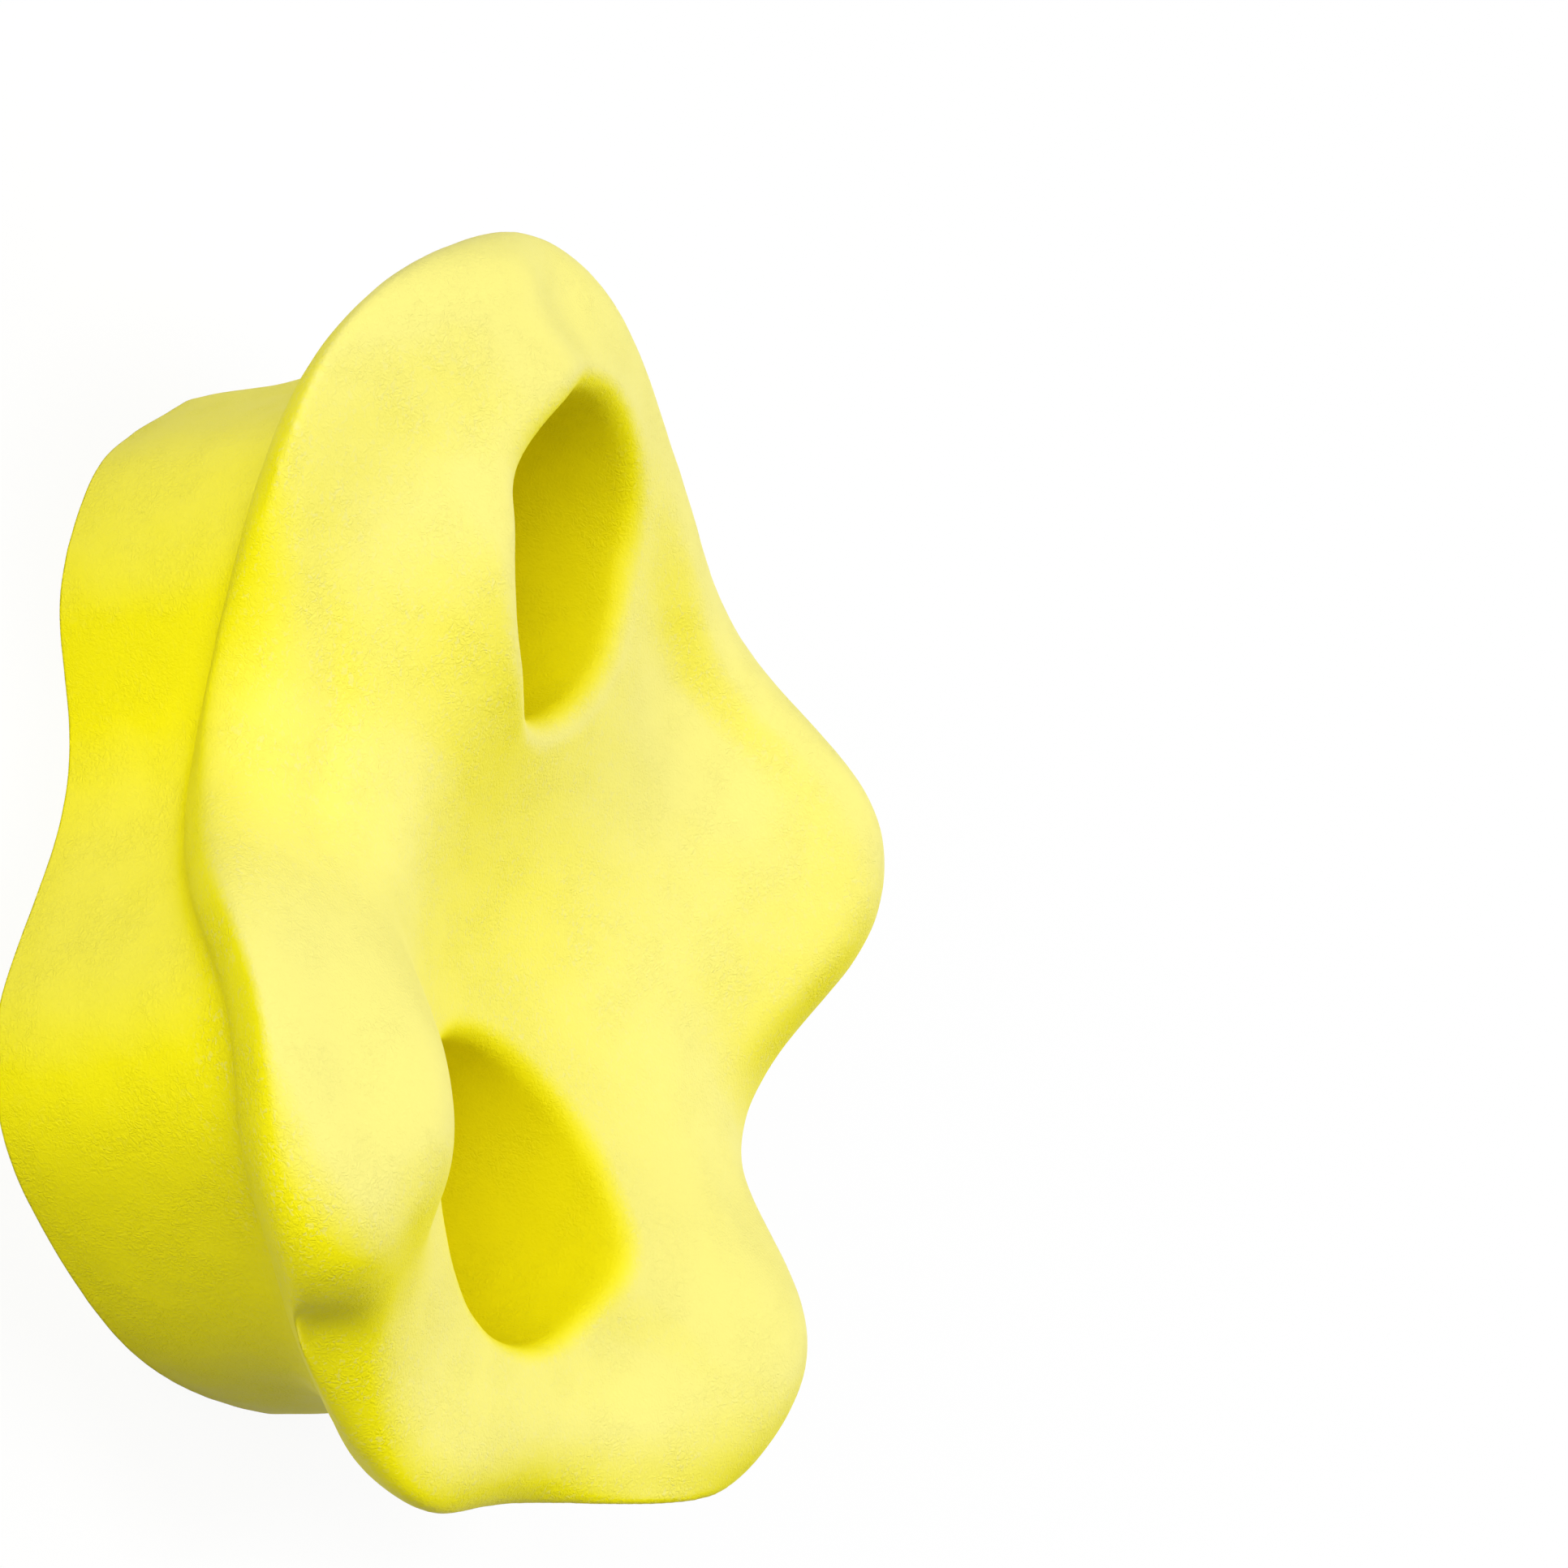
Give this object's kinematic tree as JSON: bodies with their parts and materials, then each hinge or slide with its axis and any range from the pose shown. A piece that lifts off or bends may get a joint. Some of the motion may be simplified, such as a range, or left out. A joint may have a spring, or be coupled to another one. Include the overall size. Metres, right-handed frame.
{
  "type": "climbing hold",
  "caption": "Bolt-on climbing hold with a lobed, dished crown that overhangs a narrower skirt, a ribbed hollow back, and deep wells with slotted washer seats.",
  "frame": {"origin": "on the rear plane, midway between the bolt slots", "axes": "+Z out of the wall, +X along the line of the bolt slots towards the straight-sided end, +Y across it towards the top lobe"},
  "size_m": [0.1055, 0.0898, 0.0411],
  "materials": {
    "body_plastic": "satin, finely wrinkled moulded skin",
    "seat_plastic": "satin, smooth"
  },
  "bodies": {
    "root": {"hold_body": "body_plastic", "left_seat_insert": "seat_plastic", "right_seat_insert": "seat_plastic"}
  },
  "joints": []
}
